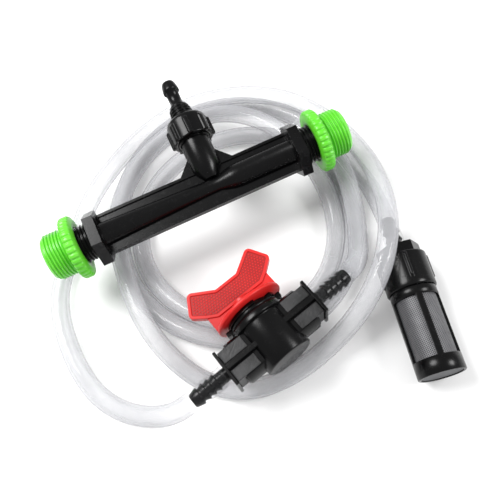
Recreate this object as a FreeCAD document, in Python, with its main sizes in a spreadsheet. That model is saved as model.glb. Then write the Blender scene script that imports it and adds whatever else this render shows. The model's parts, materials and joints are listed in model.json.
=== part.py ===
import FreeCAD, Part
import math
import os

import Sketcher
from FreeCAD import Matrix, Placement, Rotation, Vector

# A venturi injector kit: an injector tube with two threaded adapters and a suction branch,
# an inline ball valve with a butterfly handle, a suction strainer, and its clear hose.
# Millimetres. The kit lies on the plane z = 0. +X runs along the injector tube, +Y along
# its suction branch, +Z up.

doc = FreeCAD.newDocument("venturi_kit")
sheet = doc.addObject("Spreadsheet::Sheet", "Sizes")
sheet_rows = []


class Size:
    """A number that also carries the spreadsheet expression it comes from."""

    def __init__(self, value, text):
        self.value = value
        self.text = text

    def join(self, sign, other, result):
        return Size(result, f"({self.text} {sign} {words(other)})")

    def __add__(self, other):
        return self.join("+", other, self.value + number(other))

    def __sub__(self, other):
        return self.join("-", other, self.value - number(other))

    def __mul__(self, other):
        return self.join("*", other, self.value * number(other))

    def __truediv__(self, other):
        return self.join("/", other, self.value / number(other))

    def __radd__(self, other):
        return self + other

    def __rmul__(self, other):
        return self * other

    def __rsub__(self, other):
        return -self + other

    def __neg__(self):
        return Size(-self.value, f"(0 - {self.text})")


def number(size):
    return size.value if isinstance(size, Size) else float(size)


def words(size):
    return size.text if isinstance(size, Size) else repr(float(size))


def size(alias, value, note):
    """Write one driving dimension into the sheet and hand it back."""
    row = len(sheet_rows) + 1
    sheet_rows.append(alias)
    sheet.set(f"A{row}", alias)
    sheet.set(f"B{row}", str(value))
    sheet.set(f"C{row}", note)
    sheet.setAlias(f"B{row}", alias)
    return Size(value, "Sizes." + alias)


# ---- shared sizes ----------------------------------------------------------------------
clearance = size("clearance", 0.2, "gap between a screwed or turning pair, per side")
hose_outside = size("hose_outside", 11.0, "hose outside diameter")
hose_inside = size("hose_inside", 8.0, "hose inside diameter")
barb_neck = size("barb_neck", 3.7, "radius of a hose barb's neck")
barb_crest = size("barb_crest", 4.75, "radius of a hose barb's largest land")
barb_land = size("barb_land", 1.4, "length of that land")
barb_nose = size("barb_nose", 3.9, "radius at a barb's tip")
barb_bore = size("barb_bore", 2.6, "radius of the hole through a barb")
free_end_depth = size("free_end_depth", 10.0, "depth modelled of the open end's bore")
hose_fit = size("hose_fit", 0.05, "gap between a barb's crest and the stretched hose")

# ---- injector tube ---------------------------------------------------------------------
throat_x = size("throat_x", 4.25, "throat of the injector, from the origin")
throat_y = size("throat_y", 36.44, "throat of the injector, from the origin")
axis_height = size("axis_height", 41.0, "height of the injector's axis")
branch_rise = 10.0  # degrees: the suction branch leans up from the horizontal
inlet_hex = size("inlet_hex", -70.0, "middle of the hexagon at the diffuser's end")
outlet_hex = size("outlet_hex", 50.0, "middle of the hexagon at the nozzle's end")
hex_flats = size("hex_flats", 28.0, "across the flats of both hexagons")
hex_thick = size("hex_thick", 6.0, "thickness of both hexagons")
tube_end = size("tube_end", 7.25, "outer radius of the tube beside a hexagon")
tube_waist = size("tube_waist", 4.6, "outer radius of the tube at the throat")
tube_wall = size("tube_wall", 1.5, "wall of the tube beside a hexagon")
throat_bore = size("throat_bore", 2.2, "radius of the throat")
nozzle_length = size("nozzle_length", 16.0, "from the throat to the full nozzle bore")
fin_half = size("fin_half", 11.8, "half width of the web along the tube")
fin_thick = size("fin_thick", 2.4, "thickness of the web")
rim_wide = size("rim_wide", 1.6, "width of the web's thick edge")
rim_thick = size("rim_thick", 4.4, "thickness of the web's edge")
nipple_crest = size("nipple_crest", 10.4775, "crest radius of the tube's own pipe thread")
nipple_root = size("nipple_root", 9.3155, "root radius of the tube's own pipe thread")
nipple_bore = size("nipple_bore", 7.4, "radius of the hole in a threaded end")
pitch = size("pitch", 1.814, "pitch of both pipe threads")
nipple_bare = size("nipple_bare", 6.6, "thread left showing between hexagon and adapter")
nipple_grip = size("nipple_grip", 9.4, "thread inside the adapter")

# ---- adapters --------------------------------------------------------------------------
gasket_thick = size("gasket_thick", 2.0, "thickness of an adapter's flat gasket")
flange_radius = size("flange_radius", 17.9, "radius of an adapter's knurled flange")
flange_thick = size("flange_thick", 6.4, "thickness of that flange")
adapter_crest = size("adapter_crest", 13.2205, "crest radius of the adapter's male thread")
adapter_root = size("adapter_root", 12.0585, "root radius of the adapter's male thread")
adapter_grip = size("adapter_grip", 13.0, "length of the adapter's male thread")
adapter_bore = size("adapter_bore", 8.4, "radius of the adapter's water way")

# ---- suction branch --------------------------------------------------------------------
boss_radius = size("boss_radius", 8.55, "radius of the branch boss")
boss_bare = size("boss_bare", 29.5, "from the tube's axis to the nut")
boss_thread = size("boss_thread", 9.5, "crest radius of the thread on the boss")
boss_grip = size("boss_grip", 9.0, "length of that thread")
branch_pitch = size("branch_pitch", 1.5, "pitch of the thread on the boss")
branch_gasket = size("branch_gasket", 1.4, "thickness of the branch gasket")
nut_radius = size("nut_radius", 11.75, "outer radius of the union nut")
nut_lip = size("nut_lip", 1.6, "thickness of the nut's closed end")
nut_rib = size("nut_rib", 1.4, "height of the nut's grip ribs")
nut_rib_wide = size("nut_rib_wide", 1.8, "width of those ribs")
stub_flange = size("stub_flange", 9.2, "radius of the stub's flange inside the nut")
stub_thick = size("stub_thick", 2.2, "thickness of that flange")
stub_crest = size("stub_crest", 7.25, "crest radius of the stub's outer thread")
stub_shoulder = size("stub_shoulder", 5.9, "radius of the stub's end beside the barb")
stub_bare = size("stub_bare", 9.3, "length of the stub outside the nut")
branch_neck = size("branch_neck", 10.3, "length of the branch barb's neck")
branch_head = size("branch_head", 6.4, "length of the branch barb's head")
chamber_radius = size("chamber_radius", 4.3, "radius of the check valve's chamber")
chamber_floor = size("chamber_floor", 19.0, "from the tube's axis to the chamber's floor")
ball_radius = size("ball_radius", 3.6, "radius of the check ball")
ball_travel = size("ball_travel", 1.5, "travel of the check ball off its seat")
spring_radius = size("spring_radius", 2.7, "radius of the check spring, to its wire's middle")
spring_wire = size("spring_wire", 0.3, "radius of the spring's wire")
spring_turns = size("spring_turns", 5.0, "turns of the check spring")

# ---- ball valve ------------------------------------------------------------------------
valve_x = size("valve_x", -2.55, "middle of the valve, from the origin")
valve_y = size("valve_y", -52.56, "middle of the valve, from the origin")
valve_height = size("valve_height", 31.8, "height of the valve's hose axis")
valve_turn = 15.0  # degrees from +X to the valve's hose axis
barrel_radius = size("barrel_radius", 13.3, "radius of the valve's closed barrel")
barrel_floor = size("barrel_floor", -14.8, "closed end of the barrel along the stem")
barrel_neck = size("barrel_neck", 9.0, "underside of the flange at the barrel's open end")
barrel_top = size("barrel_top", 12.8, "open end of the barrel along the stem")
flange_out = size("flange_out", 15.5, "radius of that flange")
shoulder_radius = size("shoulder_radius", 12.0, "radius of the cross barrel")
shoulder_half = size("shoulder_half", 23.5, "half length of the cross barrel")
plate_middle = size("plate_middle", 28.45, "from the valve's middle to an end plate")
plate_side = size("plate_side", 20.2, "side of a square end plate")
plate_thick = size("plate_thick", 1.7, "thickness of an end plate")
socket_side = size("socket_side", 15.4, "side of the square between plate and barrel")
socket_rib = size("socket_rib", 3.0, "width of the rib along each socket face")
valve_reach = size("valve_reach", 51.0, "from the valve's middle to a barb's tip")
core_radius = size("core_radius", 8.2, "radius of the valve ball")
core_bore = size("core_bore", 3.6, "radius of the hole through the valve ball")
cavity_radius = size("cavity_radius", 10.2, "radius of the valve's inner chamber")
cavity_floor = size("cavity_floor", -9.4, "floor of that chamber")
seat_radius = size("seat_radius", 6.5, "outer radius of a seat ring")
seat_end = size("seat_end", 10.25, "outer face of a seat ring, from the middle")
stem_radius = size("stem_radius", 3.6, "radius of the stem")
stem_top = size("stem_top", 23.9, "end of the stem inside the handle")
tongue_wide = size("tongue_wide", 2.0, "width of the stem's tongue in the ball")
slot_depth = size("slot_depth", 2.4, "depth of the slot in the ball")
bonnet_radius = size("bonnet_radius", 15.0, "radius of the bonnet's collar")
bonnet_groove = size("bonnet_groove", 14.0, "radius of the groove round the collar")
bonnet_top = size("bonnet_top", 17.2, "top of the bonnet along the stem")
bonnet_plug = size("bonnet_plug", 2.8, "length of the bonnet's plug inside the barrel")
rim_notch = size("rim_notch", 3.0, "depth of the notch in the bonnet's rim")
notch_wide = size("notch_wide", 11.0, "width of that notch")
notch_middle = size("notch_middle", 8.5, "middle of that notch, along the hose")
lug_reach = size("lug_reach", 2.5, "how far a lug stands out of the collar")
lug_wide = size("lug_wide", 5.0, "width of a lug")
lug_high = size("lug_high", 2.6, "height of a lug")
ring_wire = size("ring_wire", 0.9, "radius of the stem ring's section")
disc_radius = size("disc_radius", 20.0, "radius of the handle's disc")
disc_floor = size("disc_floor", 17.5, "underside of the handle's disc")
disc_thick = size("disc_thick", 2.0, "thickness of the handle's disc")
web_thick = size("web_thick", 2.6, "thickness of the web between disc and wings")
wing_thick = size("wing_thick", 4.4, "thickness of the handle's wings")
wing_corner = size("wing_corner", 20.3, "inner corner of a wing's tip, sideways")
wing_peak = size("wing_peak", 46.9, "inner corner of a wing's tip, along the stem")
wing_out = size("wing_out", 27.3, "outer corner of a wing's tip, sideways")
wing_low = size("wing_low", 34.5, "outer corner of a wing's tip, along the stem")
web_top = size("web_top", 28.8, "where a wing's lower edge meets the web's side")
wing_foot = size("wing_foot", 25.5, "lower edge of the wings between the two webs")
foot_half = size("foot_half", 14.5, "half width of that edge")
notch_half = size("notch_half", 6.9, "half width of the saddle between the wings")
notch_floor = size("notch_floor", 38.5, "height of that saddle")

# ---- strainer --------------------------------------------------------------------------
strainer_x = size("strainer_x", 81.35, "middle of the strainer's hexagon, from the origin")
strainer_y = size("strainer_y", -35.56, "middle of the strainer's hexagon, from the origin")
strainer_turn = -101.0  # degrees from +X to the direction the strainer points
cap_radius = size("cap_radius", 13.6, "radius of the strainer's cap")
cap_rib = size("cap_rib", 0.95, "height of the cap's grip ribs")
cap_rib_long = size("cap_rib_long", 13.0, "length of those ribs")
cap_rib_wide = size("cap_rib_wide", 1.7, "width of those ribs")
cap_length = size("cap_length", 19.7, "length of the cap")
cap_wall = size("cap_wall", 1.8, "wall of the cap")
fitting_flats = size("fitting_flats", 21.2, "across the flats of the strainer's hexagon")
fitting_thick = size("fitting_thick", 6.0, "thickness of the strainer's hexagon")
plug_length = size("plug_length", 10.0, "threaded plug inside the cap")
plug_pitch = size("plug_pitch", 2.0, "pitch of the plug's thread")
strainer_barb = size("strainer_barb", 19.0, "length of the strainer's hose barb")
cage_radius = size("cage_radius", 12.65, "radius of the strainer's cage")
cage_wall = size("cage_wall", 1.6, "wall of the cage")
cage_collar = size("cage_collar", 5.1, "solid ring between cap and windows")
window_length = size("window_length", 32.7, "length of the cage's windows")
window_rib = size("window_rib", 3.4, "width of a rib between two windows")
cage_end = size("cage_end", 8.7, "solid ring at the cage's closed end")
mesh_thick = size("mesh_thick", 0.4, "thickness of the woven mesh")

made = []


def bind(obj, **sizes):
    """Bind properties such as Length or Radius to spreadsheet expressions."""
    for name, value in sizes.items():
        if isinstance(value, Size):
            obj.setExpression(name, value.text)
        else:
            setattr(obj, name, value)
    return obj


def origin_plane(body, role):
    for feature in body.Origin.OriginFeatures:
        if feature.Role == role:
            return feature
    raise ValueError(role)


def outline(body, role, corners):
    """A closed outline of straight sides, each corner bound to its two sizes."""
    sketch = body.newObject("Sketcher::SketchObject", body.Name + "_outline")
    sketch.AttachmentSupport = [(origin_plane(body, role), "")]
    sketch.MapMode = "FlatFace"
    points = []
    bound = []
    for across, along in corners:
        point = Vector(number(across), number(along), 0)
        if not points or point.distanceToPoint(points[-1]) > 1e-6:
            points.append(point)
            bound.append((across, along))
    corners = bound
    count = len(points)
    sketch.addGeometry([Part.LineSegment(points[i], points[(i + 1) % count]) for i in range(count)])
    for i in range(count):
        sketch.addConstraint(Sketcher.Constraint("Coincident", i, 2, (i + 1) % count, 1))
    for i, corner in enumerate(corners):
        for kind, value, axis in (("DistanceX", corner[0], -2), ("DistanceY", corner[1], -1)):
            if number(value) == 0.0:
                sketch.addConstraint(Sketcher.Constraint("PointOnObject", i, 1, axis))
                continue
            place = sketch.addConstraint(Sketcher.Constraint(kind, -1, 1, i, 1, number(value)))
            if isinstance(value, Size):
                sketch.setExpression(f"Constraints[{place}]", value.text)
    return sketch


def turned(name, corners):
    """A body turned about its own Z from (radius, height) corners."""
    body = doc.addObject("PartDesign::Body", name)
    sketch = outline(body, "XZ_Plane", corners)
    turn = body.newObject("PartDesign::Revolution", name + "_turned")
    turn.Profile = sketch
    turn.ReferenceAxis = (sketch, ["V_Axis"])
    turn.Angle = 360
    return body


def plate(name, role, corners, thick):
    """A body padded evenly to both sides of an origin plane."""
    body = doc.addObject("PartDesign::Body", name)
    pad = body.newObject("PartDesign::Pad", name + "_pad")
    pad.Profile = outline(body, role, corners)
    bind(pad, Length=thick)
    pad.Midplane = True
    return body


def cylinder(name, radius, height, base=(0, 0, 0), turn=None):
    obj = doc.addObject("Part::Cylinder", name)
    bind(obj, Radius=radius, Height=height)
    return put(obj, base, turn)


def box(name, length, width, height, base):
    """A box whose base is the middle of its lowest face along Z."""
    obj = doc.addObject("Part::Box", name)
    bind(obj, Length=length, Width=width, Height=height)
    x, y, z = base
    return put(obj, (length * -0.5 + x, width * -0.5 + y, z))


def prism(name, flats, height, base):
    obj = doc.addObject("Part::Prism", name)
    obj.Polygon = 6
    bind(obj, Circumradius=flats / math.sqrt(3), Height=height)
    return put(obj, base, Rotation(Vector(0, 0, 1), 90))


def put(obj, base, turn=None):
    """Place an object, with its base bound to the sheet."""
    obj.Placement = Placement(Vector(*[number(value) for value in base]), turn or Rotation())
    for axis, value in zip("xyz", base):
        if isinstance(value, Size):
            obj.setExpression("Placement.Base." + axis, value.text)
    return obj


def fuse(name, *parts):
    obj = doc.addObject("Part::MultiFuse", name)
    obj.Shapes = list(parts)
    obj.Refine = True
    return obj


def cut(name, base, tool):
    obj = doc.addObject("Part::Cut", name)
    obj.Base = base
    obj.Tool = tool
    obj.Refine = True
    return obj


def sub_part(node, obj, base=(0, 0, 0), turn=None):
    """Name a finished piece and put it in its place in the kit."""
    obj.Label = node
    put(obj, base, turn)
    made.append(obj)
    return obj


def ridges(start, pitch, count, crest, root):
    """Corners of a run of thread crests, as plain rings that stand for the helix."""
    corners = []
    for turn in range(count):
        foot = start + pitch * turn
        corners += [(root, foot), (crest, foot + pitch * 0.28), (crest, foot + pitch * 0.52)]
        corners += [(root, foot + pitch * 0.8)]
    return corners


ALONG_X = Rotation(Vector(0, 1, 0), 90)
ALONG_BACK_X = Rotation(Vector(0, 1, 0), -90)
ALONG_Y = Rotation(Vector(1, 0, 0), -90)

# ---- the injector: its own Z runs along the tube, its Y along the branch ---------------
lean = Rotation(Vector(1, 0, 0), branch_rise)
tube_turn = lean.multiply(ALONG_X)
branch_turn = lean.multiply(ALONG_Y)
throat = (throat_x, throat_y, axis_height)
half_hex = hex_thick / 2
nipple = nipple_bare + nipple_grip
tube_start = inlet_hex - half_hex - nipple
tube_stop = outlet_hex + half_hex + nipple
crests_count = int((number(nipple) - 1.0) / number(pitch))
boss_top = boss_bare + boss_grip


def injector_skin():
    """Outside of the tube: two threaded ends, a long diffuser cone and a short nozzle cone."""
    corners = [(0, tube_start), (nipple_root, tube_start)]
    corners += ridges(tube_start + 0.6, pitch, crests_count, nipple_crest, nipple_root)
    corners += [(nipple_root, inlet_hex), (tube_end, inlet_hex)]
    corners += [(tube_end, inlet_hex + half_hex), (tube_waist, throat_bore * -1.5)]
    corners += [(tube_waist, throat_bore), (tube_end - 0.6, nozzle_length * 0.6)]
    corners += [(tube_end, nozzle_length), (tube_end, outlet_hex), (nipple_root, outlet_hex)]
    first = tube_stop - 0.6 - pitch * crests_count
    corners += ridges(first, pitch, crests_count, nipple_crest, nipple_root)
    corners += [(nipple_root, tube_stop), (0, tube_stop)]
    return turned("injector_skin", corners)


def injector_bore():
    """Water way: wide ends, a narrow throat and a long diffuser."""
    spare = 1.0
    inner = tube_end - tube_wall
    corners = [(0, tube_start - spare), (nipple_bore, tube_start - spare)]
    corners += [(nipple_bore, inlet_hex - half_hex), (inner, inlet_hex + half_hex)]
    corners += [(throat_bore, throat_bore * -2), (throat_bore, throat_bore)]
    corners += [(inner, nozzle_length), (inner, outlet_hex - half_hex)]
    corners += [(nipple_bore, outlet_hex + half_hex), (nipple_bore, tube_stop + spare)]
    corners += [(0, tube_stop + spare)]
    return turned("injector_bore", corners)


def injector_fins():
    """A flat web in the plane of the branch, with a thick edge along each side."""
    length = outlet_hex - inlet_hex
    pieces = [box("web", fin_thick, fin_half * 2, length, (0, 0, inlet_hex))]
    for side, name in ((-1, "lower_rim"), (1, "upper_rim")):
        middle = (fin_half - rim_wide / 2) * side
        pieces.append(box(name, rim_thick, rim_wide, length, (0, middle, inlet_hex)))
    return pieces


def injector_boss():
    """The branch boss with its thread, and a gusset down to the web on each side."""
    count = int(number(boss_grip) / number(branch_pitch))
    corners = [(0, 0), (boss_radius, 0), (boss_radius, boss_bare)]
    corners += ridges(boss_bare, branch_pitch, count, boss_thread, boss_radius)
    corners += [(boss_radius, boss_top), (0, boss_top)]
    boss = turned("boss", corners)
    put(boss, (0, 0, 0), ALONG_Y)
    foot = boss_radius * 2
    high = boss_bare - 8.5
    gusset = plate("gusset", "YZ_Plane", [
        (fin_half - 1, -foot), (high, -boss_radius + 1.5), (high, boss_radius - 1.5),
        (fin_half - 1, foot)], fin_thick)
    return [boss, gusset]


hexes = [prism("inlet_hexagon", hex_flats, hex_thick, (0, 0, inlet_hex - half_hex)),
         prism("outlet_hexagon", hex_flats, hex_thick, (0, 0, outlet_hex - half_hex))]
injector_solid = fuse("injector_solid", injector_skin(), *hexes, *injector_fins(),
                      *injector_boss())
chamber = cylinder("chamber", chamber_radius, boss_top - chamber_floor + 1,
                   (0, chamber_floor, 0), ALONG_Y)
port = cylinder("suction_port", throat_bore, chamber_floor + 1, (0, 0, 0), ALONG_Y)
injector_holes = fuse("injector_holes", injector_bore(), chamber, port)
sub_part("venturi_body", cut("injector", injector_solid, injector_holes), throat, tube_turn)

# ---- adapters and their gaskets: Z runs outwards from the adapter's inner face ---------
socket_depth = nipple_grip + gasket_thick + clearance
adapter_length = flange_thick + adapter_grip
adapter_count = int((number(adapter_grip) - 1.2) / number(pitch))


def adapter(name):
    """Knurled flange, plain female bore over the tube's thread, and a male pipe thread."""
    socket = nipple_crest + clearance
    corners = [(socket, 0), (flange_radius, 0), (flange_radius, flange_thick)]
    corners += ridges(flange_thick, pitch, adapter_count, adapter_crest, adapter_root)
    corners += [(adapter_root, adapter_length - 1), (adapter_root - 1, adapter_length)]
    corners += [(adapter_bore, adapter_length), (adapter_bore, socket_depth), (socket, socket_depth)]
    return turned(name, corners)


def flat_ring(name, inner, outer, low, high):
    return turned(name, [(inner, low), (outer, low), (outer, high), (inner, high)])


ring_low = nipple_grip + clearance / 2
ring_high = ring_low + gasket_thick
for side, far, turn in (("left", inlet_hex - half_hex - nipple_bare, ALONG_BACK_X),
                        ("right", outlet_hex + half_hex + nipple_bare, ALONG_X)):
    face = (throat_x + far, throat_y, axis_height)
    sub_part(side + "_adapter", adapter(side + "_adapter"), face, turn)
    sub_part(side + "_gasket", flat_ring(side + "_gasket", adapter_bore, nipple_crest,
                                         ring_low, ring_high), face, turn)

# ---- suction branch: Z runs along the branch, from the tube's axis ---------------------
stub_low = boss_top + branch_gasket + clearance
stub_high = stub_low + stub_thick
lip_low = stub_high + clearance
nut_high = lip_low + nut_lip
shoulder_at = nut_high + stub_bare
branch_tip = shoulder_at + branch_neck + branch_head


def union_nut():
    """A ring nut with a rounded shoulder, closed end and eight grip ribs."""
    inner = boss_thread + clearance
    corners = [(inner, boss_bare), (nut_radius, boss_bare), (nut_radius, nut_high - 3)]
    corners += [(nut_radius - 0.9, nut_high - 1), (nut_radius - 2.6, nut_high)]
    corners += [(stub_crest + clearance, nut_high), (stub_crest + clearance, lip_low)]
    corners += [(inner, lip_low)]
    ring = turned("union_nut", corners)
    ribs = grip_ribs("nut_rib", 8, nut_radius - 0.6, nut_radius + nut_rib, boss_bare - 0.5,
                     nut_high - boss_bare - 2.5, nut_rib_wide)
    return fuse("union_nut_ribbed", ring, *ribs)


def grip_ribs(name, count, inner, outer, low, length, width):
    """Straight ribs spaced evenly about Z, from one radius out to another."""
    ribs = []
    for step in range(count):
        rib = doc.addObject("Part::Box", f"{name}_{step}")
        bind(rib, Length=outer - inner, Width=width, Height=length)
        turn = Rotation(Vector(0, 0, 1), 360.0 * step / count)
        corner = Vector(number(inner), -number(width) / 2, number(low))
        rib.Placement = Placement(turn.multVec(corner), turn)
        ribs.append(rib)
    return ribs


def suction_stub():
    """The captive stub: flange, a tapering outer thread, and the hose barb."""
    count = 4
    taper = (stub_crest - stub_shoulder) / (count * 2)
    corners = [(barb_bore, stub_low), (stub_flange, stub_low), (stub_flange, stub_high)]
    corners += [(stub_crest, stub_high), (stub_crest, nut_high)]
    step = stub_bare / (count + 1)
    for turn in range(count):
        foot = nut_high + step * turn
        crest = stub_crest - taper * turn
        corners += [(crest - 0.7, foot + step * 0.25), (crest - 0.7, foot + step * 0.5)]
        corners += [(crest, foot + step * 0.75), (crest, foot + step)]
    corners += [(stub_shoulder, shoulder_at)]
    crest_at = branch_neck + shoulder_at
    corners += [(barb_neck, shoulder_at), (barb_neck, crest_at), (barb_crest, crest_at)]
    corners += [(barb_crest, crest_at + barb_land), (barb_nose, branch_tip), (barb_bore, branch_tip)]
    return turned("suction_stub", corners)


sub_part("suction_nut", union_nut(), throat, branch_turn)
sub_part("suction_barb", suction_stub(), throat, branch_turn)
gasket_low = boss_top + clearance / 2
sub_part("suction_gasket", flat_ring("suction_gasket", chamber_radius + 0.6, boss_radius,
                                     gasket_low, gasket_low + branch_gasket), throat, branch_turn)

seat_drop = Size(math.sqrt(number(ball_radius) ** 2 - number(barb_bore) ** 2),
                 f"sqrt({words(ball_radius)} ^ 2 - {words(barb_bore)} ^ 2)")
ball_at = stub_low - seat_drop - clearance
check_ball = doc.addObject("Part::Sphere", "check_ball")
bind(check_ball, Radius=ball_radius)
lean_unit = lean.multVec(Vector(0, 1, 0))
ball_place = (throat_x, throat_y + ball_at * lean_unit.y, axis_height + ball_at * lean_unit.z)
sub_part("check_ball", check_ball, ball_place, branch_turn)


def check_spring():
    """A round wire coil that stands on the chamber's floor under the ball."""
    low = number(chamber_floor + spring_wire) + 0.05
    high = number(ball_at - ball_radius - ball_travel - spring_wire)
    lift = (high - low) / number(spring_turns)
    helix = Part.makeHelix(lift, high - low, number(spring_radius))
    start = Vector(number(spring_radius), 0, 0)
    ring = Part.Wire([Part.Circle(start, Vector(0, 1, lift / 17.0), number(spring_wire)).toShape()])
    coil = Part.Wire(helix.Edges).makePipeShell([ring], True, True)
    lift_up = Matrix()
    lift_up.move(Vector(0, 0, low))
    feature = doc.addObject("Part::Feature", "check_spring")
    feature.Shape = coil.transformGeometry(lift_up)
    return feature


sub_part("check_spring", check_spring(), throat, branch_turn)

# ---- ball valve: X along the hose, Z along the stem, -Y facing up ----------------------
turn_angle = math.radians(valve_turn)
hose_way = Vector(math.cos(turn_angle), math.sin(turn_angle), 0)
stem_way = Vector(-math.sin(turn_angle), math.cos(turn_angle), 0)
down = Vector(0, 0, -1)
valve_matrix = Matrix(hose_way.x, down.x, stem_way.x, 0, hose_way.y, down.y, stem_way.y, 0,
                      hose_way.z, down.z, stem_way.z, 0, 0, 0, 0, 1)
valve_rotation = Rotation(valve_matrix)
valve_middle = (valve_x, valve_y, valve_height)
plate_face = plate_middle + plate_thick / 2


def valve_shell():
    """Closed barrel, cross barrel, two square sockets with end plates, and two hose barbs."""
    barrel = turned("barrel", [(0, barrel_floor), (barrel_radius - 0.8, barrel_floor),
                               (barrel_radius, barrel_floor + 0.8), (barrel_radius, barrel_neck),
                               (flange_out, barrel_neck), (flange_out, barrel_top),
                               (0, barrel_top)])
    cross = turned("cross_barrel", [
        (0, -shoulder_half), (shoulder_radius - 2.5, -shoulder_half),
        (shoulder_radius, -shoulder_half + 2.5), (shoulder_radius, shoulder_half - 2.5),
        (shoulder_radius - 2.5, shoulder_half), (0, shoulder_half)])
    put(cross, (0, 0, 0), ALONG_X)
    pieces = [barrel, cross]
    for side, way in (("left", -1), ("right", 1)):
        socket = doc.addObject("Part::Box", side + "_socket")
        bind(socket, Length=plate_middle, Width=socket_side, Height=socket_side)
        start = -plate_middle if way < 0 else 0
        put(socket, (start, socket_side * -0.5, socket_side * -0.5))
        end = doc.addObject("Part::Box", side + "_plate")
        bind(end, Length=plate_thick, Width=plate_side, Height=plate_side)
        put(end, (plate_middle * way - plate_thick / 2, plate_side * -0.5, plate_side * -0.5))
        rib = doc.addObject("Part::Box", side + "_rib")
        bind(rib, Length=plate_middle, Width=plate_side - 1, Height=socket_rib)
        put(rib, (start, (plate_side - 1) * -0.5, socket_rib * -0.5))
        wall = doc.addObject("Part::Box", side + "_wall_rib")
        bind(wall, Length=plate_middle, Width=socket_rib, Height=plate_side - 1)
        put(wall, (start, socket_rib * -0.5, (plate_side - 1) * -0.5))
        reach = valve_reach - plate_middle
        ridge = plate_middle + reach * 0.42
        head = valve_reach - barb_land * 4.5
        spigot = turned(side + "_spigot", [(0, plate_middle), (barb_neck, plate_middle),
                                           (barb_neck, ridge), (barb_crest, ridge),
                                           (barb_crest, ridge + barb_land),
                                           (barb_neck, ridge + barb_land * 2.6),
                                           (barb_neck, head), (barb_crest, head),
                                           (barb_crest, head + barb_land),
                                           (barb_nose, valve_reach), (0, valve_reach)])
        put(spigot, (0, 0, 0), ALONG_X if way > 0 else ALONG_BACK_X)
        pieces += [socket, end, rib, wall, spigot]
    return fuse("valve_solid", *pieces)


def valve_holes():
    way = cylinder("valve_way", barb_bore, valve_reach * 2 + 2, (-valve_reach - 1, 0, 0), ALONG_X)
    pocket = cylinder("seat_pocket", seat_radius, seat_end * 2, (-seat_end, 0, 0), ALONG_X)
    room = cylinder("ball_room", cavity_radius, barrel_top - cavity_floor + 1, (0, 0, cavity_floor))
    return fuse("valve_holes", way, pocket, room)


sub_part("valve_body", cut("valve_shell", valve_shell(), valve_holes()), valve_middle, valve_rotation)

sphere = doc.addObject("Part::Sphere", "core_sphere")
bind(sphere, Radius=core_radius)
core_way = cylinder("core_way", core_bore, core_radius * 2 + 2, (-core_radius - 1, 0, 0), ALONG_X)
core_slot = box("core_slot", core_radius * 2, tongue_wide + 0.2, slot_depth + 1,
                (0, 0, core_radius - slot_depth))
sub_part("valve_ball", cut("core", sphere, fuse("core_holes", core_way, core_slot)),
         valve_middle, valve_rotation)

seat_face = Size(math.sqrt(number(core_radius) ** 2 - number(core_bore) ** 2) + 0.06,
                 f"(sqrt({words(core_radius)} ^ 2 - {words(core_bore)} ^ 2) + 0.06)")
for side, turn in (("left", ALONG_BACK_X), ("right", ALONG_X)):
    ring = flat_ring(side + "_seat_ring", core_bore, seat_radius - 0.05, seat_face, seat_end - 0.02)
    sub_part(f"valve_seat_{side}", ring, valve_middle, valve_rotation.multiply(turn))

tongue_floor = core_radius - slot_depth + 0.1
plug_low = barrel_top - bonnet_plug
stem_body = turned("stem_body", [(0, core_radius + 0.3), (5.4, core_radius + 0.3),
                                 (5.4, plug_low - clearance), (stem_radius, plug_low - clearance),
                                 (stem_radius, stem_top), (0, stem_top)])
tongue = box("stem_tongue", core_radius * 0.9, tongue_wide, slot_depth + 1, (0, 0, tongue_floor))
sub_part("valve_stem", fuse("stem", stem_body, tongue), valve_middle, valve_rotation)


def bonnet():
    """Screwed-in collar that closes the barrel: plug, grooved rim, two lugs and a rim notch."""
    bore = stem_radius + 0.05
    ring_room = stem_radius + ring_wire * 2
    low = barrel_top + 0.1
    corners = [(bore, plug_low), (cavity_radius - clearance, plug_low)]
    corners += [(cavity_radius - clearance, low), (bonnet_radius, low), (bonnet_radius, low + 1.1)]
    corners += [(bonnet_groove, low + 1.5), (bonnet_groove, low + 2.1), (bonnet_radius, low + 2.5)]
    corners += [(bonnet_radius, bonnet_top), (ring_room, bonnet_top)]
    corners += [(ring_room, bonnet_top - ring_wire * 2), (bore, bonnet_top - ring_wire * 2)]
    collar = turned("collar", corners)
    root = 1.8
    lug_middle = bonnet_radius - root / 2 + lug_reach / 2
    lugs = [box(side + "_lug", lug_reach + root, lug_wide, lug_high, (lug_middle * way, 0, low + 0.4))
            for side, way in (("left", -1), ("right", 1))]
    notch = box("rim_notch_cut", notch_wide, bonnet_radius / 2, rim_notch + 1,
                (notch_middle, bonnet_radius * -0.85, bonnet_top - rim_notch))
    return cut("notched_collar", fuse("lugged_collar", collar, *lugs), notch)


sub_part("valve_bonnet", bonnet(), valve_middle, valve_rotation)

stem_ring = doc.addObject("Part::Torus", "stem_ring")
bind(stem_ring, Radius1=stem_radius + ring_wire, Radius2=ring_wire - 0.06)
ring_along = bonnet_top - ring_wire
ring_place = (valve_x + ring_along * stem_way.x, valve_y + ring_along * stem_way.y, valve_height)
sub_part("stem_ring", stem_ring, ring_place, valve_rotation)


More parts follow.
